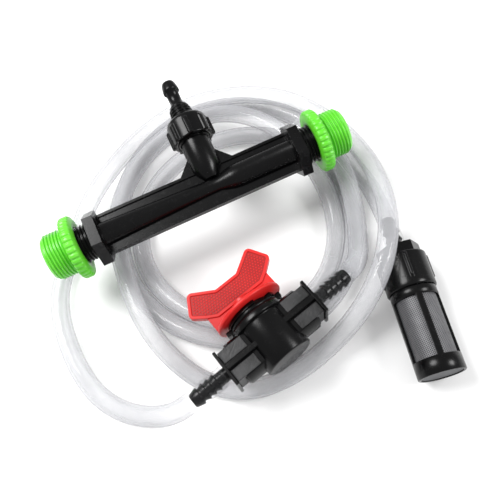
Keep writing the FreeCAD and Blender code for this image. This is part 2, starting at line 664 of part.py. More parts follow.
def handle():
    """A disc, a smooth web, two wings in one plane, and a hub over the stem."""
    disc = turned("handle_disc", [(0, disc_floor), (disc_radius, disc_floor),
                                  (disc_radius, disc_floor + disc_thick), (0, disc_floor + disc_thick)])
    base = disc_floor + disc_thick / 2
    web = plate("handle_web", "XZ_Plane", [(-disc_radius, base), (disc_radius, base),
                                           (disc_radius, web_top), (-disc_radius, web_top)], web_thick)
    wings = plate("handle_wings", "XZ_Plane", [
        (-foot_half, wing_foot), (foot_half, wing_foot), (disc_radius, web_top), (wing_out, wing_low),
        (wing_corner, wing_peak), (notch_half, notch_floor), (-notch_half, notch_floor),
        (-wing_corner, wing_peak), (-wing_out, wing_low), (-disc_radius, web_top)], wing_thick)
    hub = turned("handle_hub", [(0, base), (stem_radius + 2.4, base), (stem_radius + 1.8, stem_top + 2),
                                (0, stem_top + 2)])
    solid = fuse("handle_solid", disc, web, wings, hub)
    hole = cylinder("stem_hole", stem_radius + 0.02, stem_top + 0.1)
    return cut("handle", solid, hole)


sub_part("valve_handle", handle(), valve_middle, valve_rotation)

# ---- strainer: Z runs from the barb to the closed end, X up ----------------------------
point_angle = math.radians(strainer_turn)
point_way = Vector(math.cos(point_angle), math.sin(point_angle), 0)
side_way = Vector(0, 0, 1).cross(point_way).negative()
strainer_matrix = Matrix(0, side_way.x, point_way.x, 0, 0, side_way.y, point_way.y, 0,
                         1, side_way.z, point_way.z, 0, 0, 0, 0, 1)
strainer_rotation = Rotation(strainer_matrix)
strainer_height = cap_radius + cap_rib
strainer_middle = (strainer_x, strainer_y, strainer_height)
hex_face = fitting_thick / 2
plug_root = cap_radius - cap_wall - 1.4
plug_crest = plug_root + 1.1
cap_start = hex_face + clearance
cap_stop = cap_start + cap_length
plug_stop = hex_face + plug_length


def strainer_fitting():
    """Hexagon with a ridged hose barb on one side and a threaded plug on the other."""
    count = int(number(plug_length - 2) / number(plug_pitch))
    top = -hex_face - strainer_barb
    corners = [(barb_bore, top), (barb_nose, top)]
    for step in (0, 1, 2):
        crest_at = top + strainer_barb * (0.18 + 0.27 * step)
        corners += [(barb_crest, crest_at), (barb_crest, crest_at + barb_land / 2)]
        corners += [(barb_neck, crest_at + barb_land / 2)]
    corners += [(barb_neck, 0), (plug_root, 0), (plug_root, hex_face)]
    corners += ridges(hex_face + 1, plug_pitch, count, plug_crest, plug_root)
    corners += [(plug_root, plug_stop), (barb_crest, plug_stop), (barb_crest, hex_face), (barb_bore, 0)]
    spigot = turned("strainer_spigot", corners)
    nut = prism("fitting_hexagon", fitting_flats, fitting_thick, (0, 0, -hex_face))
    hollow = cylinder("fitting_hollow", barb_neck - 0.5, fitting_thick + 2, (0, 0, -hex_face - 1))
    return fuse("fitting", spigot, cut("fitting_nut", nut, hollow))


def strainer_cap():
    """Plain sleeve over the plug's thread with four thin grip ribs."""
    inner = plug_crest + clearance
    corners = [(inner, cap_start), (cap_radius - 0.7, cap_start), (cap_radius, cap_start + 0.7)]
    corners += [(cap_radius, cap_stop), (inner, cap_stop)]
    sleeve = turned("cap_sleeve", corners)
    ribs = grip_ribs("cap_rib", 4, cap_radius - 0.5, cap_radius + cap_rib, cap_start + 1.5,
                     cap_rib_long, cap_rib_wide)
    return fuse("ribbed_cap", sleeve, *ribs)


def strainer_cage():
    """Open cage: collar, four windows between four ribs, and a closed end."""
    end = cap_stop + cage_collar + window_length + cage_end
    inner = cage_radius - cage_wall
    spigot = plug_crest + clearance - 0.02
    neck = spigot - 1.4
    corners = [(neck, cap_stop - 5), (spigot, cap_stop - 5), (spigot, cap_stop + 0.02)]
    corners += [(cage_radius, cap_stop + 0.02), (cage_radius, end), (0, end), (0, end - 2)]
    corners += [(inner, end - 2), (inner, cap_stop + 2), (neck, cap_stop + 2)]
    shell = turned("cage_shell", corners)
    window_low = cap_stop + cage_collar
    whole = cylinder("window_drum", cage_radius + 1, window_length, (0, 0, window_low))
    across = box("rib_across", cage_radius * 3, window_rib, window_length, (0, 0, window_low))
    along = box("rib_along", window_rib, cage_radius * 3, window_length, (0, 0, window_low))
    return cut("cage", shell, cut("windows", whole, fuse("window_ribs", across, along)))


def strainer_mesh():
    """Thin woven sleeve just inside the cage's ribs."""
    outer = cage_radius - cage_wall - 0.05
    low = cap_stop + 2.1
    high = cap_stop + cage_collar + window_length + cage_end - 2.1
    return flat_ring("mesh_sleeve", outer - mesh_thick, outer, low, high)


sub_part("strainer_fitting", strainer_fitting(), strainer_middle, strainer_rotation)
sub_part("strainer_cap", strainer_cap(), strainer_middle, strainer_rotation)
sub_part("strainer_cage", strainer_cage(), strainer_middle, strainer_rotation)
sub_part("strainer_mesh", strainer_mesh(), strainer_middle, strainer_rotation)
sub_part("strainer_gasket", flat_ring("strainer_gasket", barb_crest, plug_root - 0.3,
                                      plug_stop + 0.1, plug_stop + 1.8),
         strainer_middle, strainer_rotation)

# ---- hose ------------------------------------------------------------------------------
hose_radius = number(hose_outside) / 2
hose_start = number(plate_face) + 1.5

# Routes from the origin, chosen by hand: the long hose from the valve's left barb round the
# loose outer turn, the lead from the coil to the strainer, and the short hose with a free end.
LOOP_POINTS = [(-51.81, -65.76, 31.8), (-66, -68.5, 29.5), (-80.5, -66, 23.5), (-92.5, -56.5, 15.5),
               (-101.5, -41, 9), (-108, -14, 5.5), (-111, 14, 5.5), (-103, 37, 5.5), (-88, 57, 8),
               (-70, 74, 17), (-50, 92, 17), (-22, 107.5, 17), (10, 115, 17), (41, 109, 17),
               (70, 91, 17), (87, 63, 17), (95, 31, 17.5), (91, 3, 22), (84, -15.5, 30.5),
               (75, -32, 33), (62.5, -46.5, 31), (45, -58, 19), (20, -66, 7.5), (-5, -70, 5.5),
               (-27, -67, 5.5), (-46, -53, 5.5), (-58, -32, 9), (-63, -12, 15.5), (-64, 8, 17),
               (-63, 27, 17)]
SHORT_POINTS = [(46.71, -39.36, 31.8), (57.5, -32.5, 25), (65.5, -18, 17), (72.5, 0, 17), (77.5, 18, 17),
                (79.5, 36, 17), (76, 52, 17), (66, 67, 17)]
LEAD_POINTS = [(90.5, 16, 5.5), (89.5, 6, 7.5), (87.5, -4, 12), (85.55, -13.96, 14.55)]

# The coil: three turns on the floor and part of a second layer, as oval rings round one
# middle, each given by how far it reaches to the right, the top, the left and the bottom.
COIL_MIDDLE = (13.0, 27.0)
COIL_OUTSIDE = (81.5, 93.5, 81.5, 78.5)
COIL_INSIDE = (47.0, 52.5, 58.5, 58.0)
UPPER_OUTSIDE = (70.0, 78.5, 81.5, 78.5)
UPPER_INSIDE = (59.0, 67.5, 70.5, 67.5)
UPPER_HEIGHT = 22.5


def rounded_path(points):
    """Straight runs joined by tangent arcs, each arc as large as its two runs allow."""
    edges = []
    radii = []
    last = points[0]
    for before, corner, after in zip(points, points[1:], points[2:]):
        come = (before - corner).normalize()
        leave = (after - corner).normalize()
        half_turn = (math.pi - come.getAngle(leave)) / 2
        reach = 0.45 * min((before - corner).Length, (after - corner).Length)
        radius = reach / math.tan(half_turn)
        start = corner + come * reach
        stop = corner + leave * reach
        middle = corner + (come + leave).normalize() * (radius / math.cos(half_turn) - radius)
        edges += [Part.LineSegment(last, start).toShape(), Part.Arc(start, middle, stop).toShape()]
        radii.append(radius)
        last = stop
    edges.append(Part.LineSegment(last, points[-1]).toShape())
    return Part.Wire(edges), radii


def hose(node, points, start_bore=None, stop_bore=None):
    """A plain round tube along a route, with a bore (radius, depth) at one or both ends."""
    path, radii = rounded_path(points)
    start, way = points[0], (points[1] - points[0]).normalize()
    ring = Part.Wire([Part.Circle(start, way, hose_radius).toShape()])
    tube = path.makePipeShell([ring], True, False)
    expected = math.pi * hose_radius ** 2 * path.Length
    print(f"{node}: length {path.Length:.1f}, smallest radius {min(radii):.1f}, "
          f"volume against section x length {tube.Volume / expected:.4f}")
    for place, towards, bore in ((points[0], way, start_bore),
                                 (points[-1], (points[-2] - points[-1]).normalize(), stop_bore)):
        if bore:
            radius, depth = bore
            tube = tube.cut(Part.makeCylinder(radius, depth + 1.0, place - towards, towards))
    feature = doc.addObject("Part::Feature", node)
    feature.Shape = tube
    return sub_part(node, feature)


def along_barb(middle, way, distance, height):
    """A point on a barb's axis, at a distance from the middle of its part."""
    return Vector(number(middle[0]) + way.x * distance, number(middle[1]) + way.y * distance, height)


valve_level = number(valve_height)
strainer_level = number(strainer_height)
left_start = along_barb(valve_middle, hose_way, -hose_start, valve_level)
right_start = along_barb(valve_middle, hose_way, hose_start, valve_level)
lead_end = along_barb(strainer_middle, point_way, -number(hex_face) - 1.0, strainer_level)
stretched = number(barb_crest + hose_fit)
over_valve_barb = (stretched, number(valve_reach) - hose_start + 0.3)
over_strainer_barb = (stretched, number(strainer_barb) - 1.0 + 0.3)
free_end = (number(hose_inside) / 2, number(free_end_depth))
hose("hose_loop", [left_start] + [Vector(*point) for point in LOOP_POINTS], over_valve_barb)
hose("hose_short", [right_start] + [Vector(*point) for point in SHORT_POINTS], over_valve_barb,
     free_end)
hose("hose_lead", [Vector(*point) for point in LEAD_POINTS] + [lead_end],
     stop_bore=over_strainer_barb)


def oval(reaches, height):
    """Closed wire of four quarter ellipses that share a middle."""
    right, top, left, bottom = reaches
    middle = Vector(COIL_MIDDLE[0], COIL_MIDDLE[1], height)
    edges = []
    for quarter, (across, along) in enumerate(((right, top), (left, top), (left, bottom), (right, bottom))):
        wide = across >= along
        start = math.radians(90 * quarter)
        if wide:
            curve = Part.Ellipse(middle, across, along)
        else:
            curve = Part.Ellipse(middle + Vector(0, along, 0), middle + Vector(-across, 0, 0), middle)
            start -= math.radians(90)
        edges.append(Part.Arc(curve, start, start + math.radians(90)).toShape())
    return Part.Wire(edges)


def oval_ring(outside, inside, low, high):
    outer = Part.Face(oval(outside, low)).extrude(Vector(0, 0, high - low))
    return outer.cut(Part.Face(oval(inside, low)).extrude(Vector(0, 0, high - low)))


def coil():
    """Outer shape of the wound turns: a full lower layer, and one turn above it on the left."""
    layer = number(hose_outside)
    lower = oval_ring(COIL_OUTSIDE, COIL_INSIDE, 0.0, layer)
    upper = oval_ring(UPPER_OUTSIDE, UPPER_INSIDE, layer - 0.01, UPPER_HEIGHT)
    keep = Part.makeBox(120.0, 100.0, UPPER_HEIGHT, Vector(COIL_MIDDLE[0] - 90.0, COIL_MIDDLE[1], 1.0))
    return lower.fuse(upper.common(keep)).removeSplitter()


coil_feature = doc.addObject("Part::Feature", "hose_coil")
coil_feature.Shape = coil()
sub_part("hose_coil", coil_feature)

# ---- check and write -------------------------------------------------------------------
doc.recompute()
for obj in doc.Objects:
    if "Invalid" in obj.State or "Error" in obj.State:
        raise RuntimeError(f"{obj.Label}: {obj.State}")
for obj in made:
    if obj.Shape.isNull() or not obj.Shape.isValid() or not obj.Shape.Solids:
        raise RuntimeError(f"{obj.Label} has no valid solid")

os.makedirs("parts", exist_ok=True)
for obj in made:
    obj.Shape.exportStep(f"parts/{obj.Label}.step")
    bounds = obj.Shape.BoundBox
    print(f"{obj.Label}: {len(obj.Shape.Solids)} solid, volume {obj.Shape.Volume:.0f}, "
          f"x {bounds.XMin:.1f}..{bounds.XMax:.1f}, y {bounds.YMin:.1f}..{bounds.YMax:.1f}, "
          f"z {bounds.ZMin:.1f}..{bounds.ZMax:.1f}")
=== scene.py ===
# %% [markdown]
# # A venturi injector kit
# A black injector tube with two green adapters, an inline ball valve with a red butterfly handle,
# a suction strainer and a long clear hose. The plain, working shapes are already there as a frame.
# This lesson gives each visible piece its real surface: knurls, screw threads, dimples and weave.

# %% Load the frame
import json
import math

import bpy
import numpy as np
from mathutils import Matrix, Vector


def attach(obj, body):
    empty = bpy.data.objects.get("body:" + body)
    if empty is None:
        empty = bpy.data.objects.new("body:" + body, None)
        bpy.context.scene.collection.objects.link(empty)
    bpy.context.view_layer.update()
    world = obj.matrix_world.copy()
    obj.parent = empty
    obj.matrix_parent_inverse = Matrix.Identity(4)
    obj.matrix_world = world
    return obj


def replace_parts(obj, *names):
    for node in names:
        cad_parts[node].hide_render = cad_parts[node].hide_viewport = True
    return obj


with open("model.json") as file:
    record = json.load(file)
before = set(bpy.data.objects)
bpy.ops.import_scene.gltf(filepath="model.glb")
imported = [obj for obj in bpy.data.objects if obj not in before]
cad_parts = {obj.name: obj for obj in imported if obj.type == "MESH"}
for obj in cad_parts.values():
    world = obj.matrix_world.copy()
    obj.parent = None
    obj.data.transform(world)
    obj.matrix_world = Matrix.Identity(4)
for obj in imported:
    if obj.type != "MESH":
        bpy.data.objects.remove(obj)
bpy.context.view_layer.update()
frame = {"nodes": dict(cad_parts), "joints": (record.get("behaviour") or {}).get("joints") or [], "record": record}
print("nodes in the frame:", len(frame["nodes"]))

# %% [markdown]
# ## Places
# Every piece sits in a local frame of its own: an origin and three directions. The screwed ends, the
# valve's stem and the strainer's axis are read from the record, so nothing here is placed by eye.
# All shapes are worked out in millimetres, and become metres when they are put in place.

# %% Local frames
MM = 0.001
mounts = {mount["name"]: mount for mount in frame["record"]["mounts"]}
joints = {joint["name"]: joint for joint in frame["joints"]}


class Seat:
    """A local frame in millimetres: z is the axis, x the side direction, y follows from them."""

    def __init__(self, origin, axis, side):
        self.origin = np.array(origin, float)
        self.z = np.array(Vector(axis).normalized())
        side = np.array(side, float)
        side = side - self.z * (side @ self.z)
        self.x = side / np.linalg.norm(side)
        self.y = np.cross(self.z, self.x)

    def place(self, points):
        """Row-frame metres of local millimetre points, any array ending in x, y, z."""
        turn = np.array([self.x, self.y, self.z])
        return (np.asarray(points, float) @ turn + self.origin) * MM


def of_record(entry):
    """Where a mount or a joint is, in millimetres."""
    return np.array(entry["pos_m"], float) / MM


inlet = mounts["inlet_thread"]
branch = mounts["suction_spigot"]
throat = np.array([branch["pos_m"][0], inlet["pos_m"][1], inlet["pos_m"][2]]) / MM
branch_way = np.array(branch["axis"], float)
across = np.cross((1, 0, 0), branch_way)
injector = Seat(throat, (1, 0, 0), -across)
suction = Seat(throat, branch_way, (1, 0, 0))
stem = np.array(joints["valve_handle"]["axis"], float)
valve = Seat(of_record(joints["valve_handle"]), stem, np.cross((0, 0, -1), stem))
housing = joints["strainer_housing_turn"]
strainer_way = np.array(housing["axis"], float)
strainer = Seat(of_record(housing) - 12 * strainer_way, strainer_way, (0, 0, 1))
print("throat", throat, "valve", valve.origin, "strainer", strainer.origin)

# %% [markdown]
# ## The camera
# The lens is a short telephoto.

# %% Camera
camera_at = np.array([-13.33, -133.94, 325.8])
camera_right = Vector((0.9092, -0.4000, -0.1154)).normalized()
camera_ahead = Vector((0.062, 0.4043, -0.9125)).normalized()
camera_up = camera_right.cross(camera_ahead).normalized()
camera_right = camera_ahead.cross(camera_up)
turn = Matrix((camera_right, camera_up, -camera_ahead)).transposed().to_4x4()
lens = bpy.data.cameras.new("camera")
lens.sensor_width = 36.0
lens.lens = 42.696
camera = bpy.data.objects.new("camera", lens)
camera.matrix_world = Matrix.Translation(Vector(camera_at * MM)) @ turn
bpy.context.scene.collection.objects.link(camera)
bpy.context.scene.camera = camera
print("camera lens", round(lens.lens, 1), "mm")

# %% [markdown]
# ## Materials as expressions
# A shader is easier to read as a sum than as a web of nodes. `Value` wraps one socket and overloads
# the operators, and `Finish` makes a material and adds any node by its type, settings and inputs.

# %% Shader helpers


class Value:
    """One shader socket. An expression on values adds its Math nodes."""

    def __init__(self, finish, socket):
        self.finish = finish
        self.socket = socket

    def math(self, operation, *others):
        inputs = dict(enumerate((self, *others)))
        return self.finish.node("ShaderNodeMath", {"operation": operation}, inputs)

    def __add__(self, other):
        return self.math("ADD", other)

    def __mul__(self, other):
        return self.math("MULTIPLY", other)

    def __pow__(self, other):
        return self.math("POWER", other)


class Finish:
    """A material being built on one Principled shader."""

    def __init__(self, name, color, roughness, **constants):
        self.material = bpy.data.materials.new(name)
        self.material.use_nodes = True
        self.tree = self.material.node_tree
        self.surface = self.tree.nodes["Principled BSDF"]
        self.set("Base Color", (*color, 1.0))
        self.set("Roughness", roughness)
        for socket, value in constants.items():
            self.set(socket.replace("_", " "), value)

    def feed(self, socket, value):
        if isinstance(value, Value):
            self.tree.links.new(value.socket, socket)
        else:
            socket.default_value = value

    def set(self, name, value):
        self.feed(self.surface.inputs[name], value)
        return self

    def node(self, kind, settings=None, inputs=None, output=0):
        node = self.tree.nodes.new(kind)
        for name, value in (settings or {}).items():
            setattr(node, name, value)
        for name, value in (inputs or {}).items():
            self.feed(node.inputs[name], value)
        return Value(self, node.outputs[output])

    def place(self):
        """Object coordinates, in metres: every piece's object sits at the origin."""
        return self.node("ShaderNodeTexCoord", output=3)

    def noise(self, scale, detail=2.0, where=None):
        inputs = {"Vector": where or self.place(), "Scale": scale, "Detail": detail}
        return self.node("ShaderNodeTexNoise", inputs=inputs)

    def between(self, mask, low, high):
        """Mask values from low to high become 0 to 1."""
        inputs = {"Value": mask, "From Min": low, "From Max": high}
        return self.node("ShaderNodeMapRange", inputs=inputs)

    def blend(self, mask, dark, light):
        """One colour where the mask is 0, another where it is 1."""
        inputs = {0: mask, 6: (*dark, 1.0), 7: (*light, 1.0)}
        return self.node("ShaderNodeMix", {"data_type": "RGBA"}, inputs, output=2)

    def bump(self, height, strength, distance):
        inputs = {"Height": height, "Strength": strength, "Distance": distance}
        self.set("Normal", self.node("ShaderNodeBump", inputs=inputs))
        return self


# %% [markdown]
# ## Moulded plastic
# Injection-moulded plastic is never one flat colour. It has slow flow clouds in its tone, a fine
# grain from the mould's steel that also moves the roughness, and here and there a rubbed spot.
# Three noises at three scales do that, each at the size the real mark has.

# %% Plastics


def plastic(name, color, lighter, roughness, grain, grain_depth, **constants):
    """Clouds 15 mm wide in the colour, grain in the bump, and rubbed spots in the roughness."""
    finish = Finish(name, color, roughness, **constants)
    clouds = finish.between(finish.noise(65.0, 3.0), 0.35, 0.7)
    rubbed = finish.between(finish.noise(420.0, 4.0), 0.55, 0.75)
    fine = finish.noise(grain, 3.0)
    finish.set("Base Color", finish.blend(clouds * 0.7 + rubbed * 0.3, color, lighter))
    finish.set("Roughness", fine * 0.1 + rubbed * 0.08 + (roughness - 0.05))
    return finish.bump(fine + clouds * 0.6, 0.35, grain_depth).material


black_plastic = plastic("black_plastic", (0.0012, 0.0012, 0.0014), (0.003, 0.003, 0.0032), 0.24,
                        1800.0, 0.00005, Specular_IOR_Level=0.2)
grained_black = plastic("grained_black_plastic", (0.003, 0.003, 0.0033), (0.05, 0.05, 0.052), 0.45,
                        1100.0, 0.0006, Specular_IOR_Level=0.4)
green_plastic = plastic("green_plastic", (0.105, 0.56, 0.022), (0.15, 0.66, 0.045), 0.32,
                        1500.0, 0.00005)
red_plastic = plastic("red_plastic", (0.55, 0.012, 0.011), (0.64, 0.02, 0.018), 0.36,
                      1500.0, 0.00006, Specular_IOR_Level=0.3)
# A darker red for the handle's sunk fields: painted shade in the recess round the domes.
red_painted_shade = plastic("red_plastic_painted_shade_in_the_hollows", (0.3, 0.006, 0.006), (0.36, 0.01, 0.009), 0.45,
                     1500.0, 0.00006, Specular_IOR_Level=0.3)
seat_plastic = plastic("seat_plastic", (0.8, 0.8, 0.77), (0.88, 0.88, 0.85), 0.4, 1500.0, 0.00004)
ball_plastic = plastic("ball_plastic", (0.4, 0.41, 0.43), (0.5, 0.51, 0.53), 0.25, 1500.0, 0.00003)
black_rubber = plastic("black_rubber", (0.014, 0.014, 0.014), (0.03, 0.03, 0.03), 0.6, 900.0, 0.0001)
end_grey = plastic("end_grey_plastic", (0.085, 0.087, 0.092), (0.12, 0.123, 0.13), 0.6, 1100.0, 0.0001,
                   Specular_IOR_Level=0.3)

# %% [markdown]
# ## Steel
# The spring is drawn wire: bright, with fine lines of wear. The strainer's mesh is a weave of thin
# wires. Its holes are painted near black, painted shade of the sleeve's inside, and partly cut by
# alpha, and its wires are lifted by bump, on the sleeve's own UV map, where one unit of U and V is
# one millimetre. The weave lies at 45 degrees to the sleeve's axis.

# %% Steels
bright_steel = Finish("bright_steel", (0.62, 0.63, 0.65), 0.25, Metallic=1.0)
bright_steel.bump(bright_steel.noise(2600.0, 2.0), 0.2, 0.00003)
bright_steel = bright_steel.material


def woven_steel(wire_pitch):
    """Two families of wires; each lifts where it passes over the other: |sin| of U+V and U-V."""
    finish = Finish("woven_steel", (0.33, 0.33, 0.34), 0.5, Metallic=0.4)
    unrolled = {"Vector": finish.node("ShaderNodeUVMap", {"uv_map": "weave"})}
    around = finish.node("ShaderNodeSeparateXYZ", inputs=unrolled)
    along = finish.node("ShaderNodeSeparateXYZ", inputs=unrolled, output=1)
    turns = math.pi / (wire_pitch * math.sqrt(2))
    first = ((along + around) * turns).math("SINE").math("ABSOLUTE")
    second = ((along + around * -1.0) * turns).math("SINE").math("ABSOLUTE")
    wires = first.math("MAXIMUM", second)
    shown = finish.between(wires, 0.78, 0.93)
    tone = finish.between(finish.noise(260.0, 3.0), 0.3, 0.7)
    wires_over_painted_shade = shown * (tone * 0.25 + 0.75)
    # Near-black holes: painted shade of the sleeve's inside, seen through the weave; the wires take the lighter
    # grey.
    finish.set("Base Color", finish.blend(wires_over_painted_shade, (0.01, 0.01, 0.011), (0.2, 0.2, 0.21)))
    finish.set("Alpha", shown * 0.35 + 0.65)
    return finish.bump(wires, 0.6, 0.0002).material


mesh_steel = woven_steel(0.9)

# %% [markdown]
# ## Clear hose
# A clear PVC tube lets nearly everything through where one looks straight into its wall, and shows
# a milky grey where the look grazes it. Layer Weight gives that grazing share. It drives alpha
# and colour, while a smooth surface gives the long highlights. The inner wall is a second tube.

# %% Hose finish


def clear_pvc(name, thin, thick, color, edge_color):
    """Alpha rises from thin, seen square on, to thick at the outline, with the grazing share.

    Where the hose is stretched tight over a barb it is clearer, so a barb shows through."""
    finish = Finish(name, color, 0.12, Specular_IOR_Level=0.55)
    grazing = finish.node("ShaderNodeLayerWeight", inputs={"Blend": 0.5}, output=1)
    haze = finish.between(finish.noise(90.0, 2.0), 0.3, 0.8)
    edge = grazing ** 2.2
    facing, rim = haze * 0.08 + thin, edge * (thick - thin)
    for barb_middle in barb_middles:
        apart = finish.node("ShaderNodeVectorMath", {"operation": "DISTANCE"},
                            {0: finish.place(), 1: tuple(barb_middle * MM)}, output=1)
        loose = finish.between(apart, 0.011, 0.015)
        facing, rim = facing * (loose * 0.96 + 0.04), rim * (loose * 0.6 + 0.4)
    cover = rim + facing
    finish.set("Base Color", finish.blend(edge, color, edge_color))
    finish.set("Alpha", cover)
    finish.set("Roughness", haze * 0.08 + 0.07)
    return finish.material


barb_middles = [valve.origin - valve.x * 41, valve.origin + valve.x * 41,
                strainer.origin - strainer.z * 12]
hose_finish = clear_pvc("clear_hose", 0.26, 0.84, (0.66, 0.665, 0.69), (0.24, 0.24, 0.27))
hose_bore_finish = clear_pvc("clear_hose_bore", 0.05, 0.5, (0.7, 0.7, 0.73), (0.4, 0.4, 0.44))

# %% [markdown]
# ## The hoses
# The hose is the piece that has to be a real length of something flexible, so it comes first. It is
# one open NURBS spline per hose. The loose outer turn is a list of given points. The wound turns are
# a loop: each quarter of a turn is a quarter ellipse with its own two reaches, so the turns spread
# apart at the top and crowd together at the left, as loose turns do.

# %% Hose routes
LOOP_POINTS = [(-51.81, -65.76, 31.8), (-63, -67, 29.5), (-76, -62, 24), (-89, -52, 17.5),
               (-101, -37, 10), (-108.5, -15, 5.5), (-110, 10, 5.5), (-107, 30, 5.5), (-99, 45, 5.5),
               (-86, 60, 8), (-70, 75, 17), (-50, 92, 17), (-22, 107.5, 17), (10, 115, 17), (41, 109, 17),
               (70, 91, 17), (87, 63, 17), (95, 31, 17.5), (91, 3, 22), (84, -15.5, 30.5),
               (75, -32, 33), (62.5, -46.5, 31), (45, -58, 19), (20, -66, 7.5), (-5, -70, 5.5),
               (-27, -67, 5.5), (-46, -53, 5.5), (-58, -32, 9), (-63, -12, 15.5), (-64, 8, 17),
               (-63, 27, 17)]
SHORT_POINTS = [(46.71, -39.36, 31.8), (57.5, -32.5, 25), (65.5, -18, 17), (72.5, 0, 17), (77.5, 18, 17),
                (79.5, 36, 17), (76, 52, 17), (66, 67, 17)]
LEAD_POINTS = [(90.5, 16, 5.5), (89.5, 6, 7.5), (87.5, -4, 12), (85.55, -13.96, 14.55)]
coil_middle = np.array([13.0, 27.0])
quarter_reaches = [76, 75, 53, 63.5, 65, 61.5, 64, 73, 77, 88, 76]
steps_per_quarter = 6
floor_level, upper_level = 5.5, 17.0


def level_at(quarter):
    """The second layer runs on past the top, then comes down to the floor before the bottom."""
    share = min(max((quarter - 1.55) / 0.75, 0.0), 1.0)
    eased = share * share * (3 - 2 * share)
    return upper_level + (floor_level - upper_level) * eased


def wound_turns():
    """Clockwise quarter ellipses: x = middle - a cos, y = middle + b sin, from reach to reach."""
    points = []
    for quarter, (reach, after) in enumerate(zip(quarter_reaches, quarter_reaches[1:])):
        for step in range(1, steps_per_quarter + 1):
            share = step / steps_per_quarter
            turned = math.pi / 2 * (quarter + share)
            sideways, upwards = (reach, after) if quarter % 2 == 0 else (after, reach)
            x = coil_middle[0] - sideways * math.cos(turned)
            y = coil_middle[1] + upwards * math.sin(turned)
            points.append((x, y, level_at(quarter + share)))
    return points


def hose_curve(name, points, radius, material):
    """A round tube on a quadratic NURBS through its control points' middles."""
    curve = bpy.data.curves.new(name, "CURVE")
    curve.dimensions = "3D"
    spline = curve.splines.new("NURBS")
    spline.points.add(len(points) - 1)
    flat = np.ones((len(points), 4))
    flat[:, :3] = np.array(points) * MM
    spline.points.foreach_set("co", flat.ravel())
    spline.order_u = 3
    spline.use_endpoint_u = True
    spline.resolution_u = 8
    curve.bevel_depth = radius * MM
    curve.bevel_resolution = 7
    curve.use_fill_caps = False
    curve.materials.append(material)
    piece = bpy.data.objects.new(name, curve)
    bpy.context.scene.collection.objects.link(piece)
    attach(piece, "root")
    return piece


def line_of(curve_piece):
    """The tube's centreline, read from a copy of the curve with no bevel."""
    bare = curve_piece.copy()
    bare.data = curve_piece.data.copy()
    bare.data.bevel_depth = 0.0
    bpy.context.scene.collection.objects.link(bare)
    bpy.context.view_layer.update()
    graph = bpy.context.evaluated_depsgraph_get()
    mesh = bpy.data.meshes.new_from_object(bare.evaluated_get(graph))
    line = np.empty(len(mesh.vertices) * 3)
    mesh.vertices.foreach_get("co", line)
    bpy.data.objects.remove(bare)
    return line.reshape(-1, 3)


valve_way = valve.x
plate_face = 29.3
left_start = valve.origin - valve_way * (plate_face + 1.5)
right_start = valve.origin + valve_way * (plate_face + 1.5)
lead_end = strainer.origin - strainer.z * 4.0
long_route = [left_start, *LOOP_POINTS, *wound_turns(), *LEAD_POINTS, lead_end]
short_route = [right_start, *SHORT_POINTS]

for name, route, nodes, far_end in (
        ("long_hose", long_route, ("hose_loop", "hose_coil", "hose_lead"), "object"),
        ("short_hose", short_route, ("hose_short",), "bare")):
    hose = hose_curve(name, route, 5.5, hose_finish)
    bore = hose_curve(name + "_bore", route, 4.0, hose_bore_finish)
    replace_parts(hose, *nodes)
    line = line_of(hose)
    tuple(route[0] * MM)
    "coiled" if far_end == "object" else "loose"

# %% [markdown]
# ## Building surfaces
# Nearly all these pieces are turned or extruded. `Shell` collects closed surfaces of one piece:
# `turned` carries a profile round the axis, and can change each point's radius by a formula of
# height and angle, which is how a knurl or a screw thread is made; `slab` extrudes an outline.

# %% Surface helpers
TURN = 2 * math.pi


def eased(share):
    """0 below 0, 1 above 1, and a smooth step between."""
    share = np.clip(share, 0.0, 1.0)
    return share * share * (3 - 2 * share)


